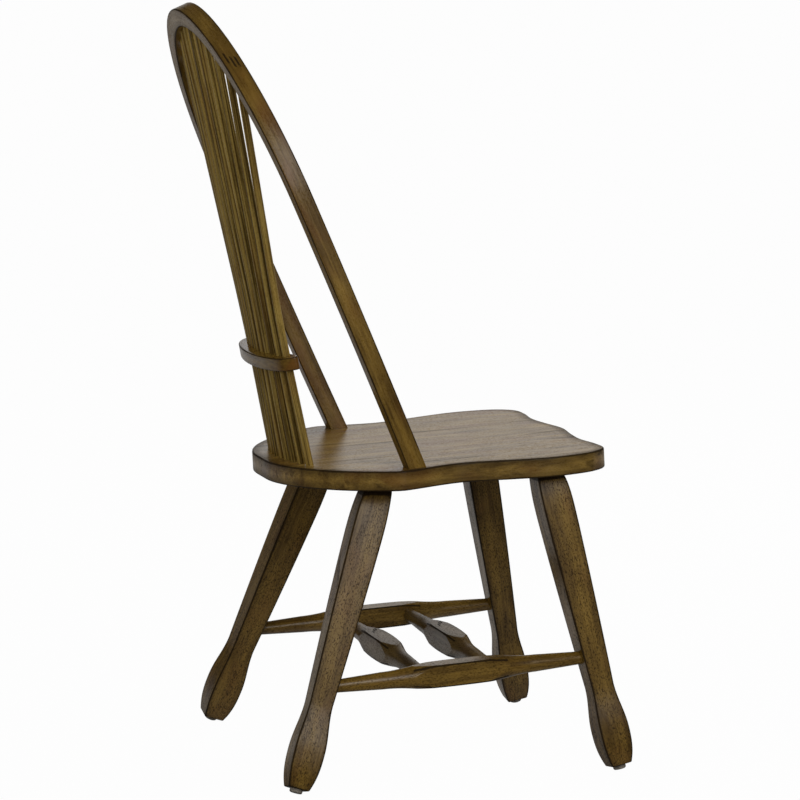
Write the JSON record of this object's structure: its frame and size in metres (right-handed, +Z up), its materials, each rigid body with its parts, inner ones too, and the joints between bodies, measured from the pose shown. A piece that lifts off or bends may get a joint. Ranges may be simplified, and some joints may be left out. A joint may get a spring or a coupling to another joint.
{
  "type": "sheaf back dining chair",
  "caption": "Wooden side chair with a bent bow back, a fanned sheaf of spindles gathered by a curved band, a shaped seat, splayed paddle-foot legs and turned stretchers.",
  "frame": {"origin": "on the floor, under the middle of the chair's width and length", "axes": "+Z up, -Y the way the chair faces, +X the sitter's left"},
  "size_m": [0.5324, 0.6064, 1.0992],
  "materials": {
    "seat_wood": "satin antiqued lacquer",
    "frame_wood": "satin antiqued lacquer",
    "spindle_wood": "satin antiqued lacquer",
    "glide_nylon": "matte",
    "nail_steel": "bright"
  },
  "bodies": {
    "root": {"seat": "seat_wood", "bow": "frame_wood", "band": "frame_wood", "spindle_01": "spindle_wood", "spindle_02": "spindle_wood", "spindle_03": "spindle_wood", "spindle_04": "spindle_wood", "spindle_05": "spindle_wood", "spindle_06": "spindle_wood", "spindle_07": "spindle_wood", "spindle_08": "spindle_wood", "spindle_09": "spindle_wood", "spindle_10": "spindle_wood", "spindle_11": "spindle_wood", "leg_front_left": "frame_wood", "leg_front_right": "frame_wood", "leg_rear_left": "frame_wood", "leg_rear_right": "frame_wood", "stretcher_left": "frame_wood", "stretcher_right": "frame_wood", "stretcher_cross_front": "frame_wood", "stretcher_cross_rear": "frame_wood", "glide_front_left": "glide_nylon", "glide_front_right": "glide_nylon", "glide_rear_left": "glide_nylon", "glide_rear_right": "glide_nylon", "nail_front_left": "nail_steel", "nail_front_right": "nail_steel", "nail_rear_left": "nail_steel", "nail_rear_right": "nail_steel"}
  },
  "joints": []
}
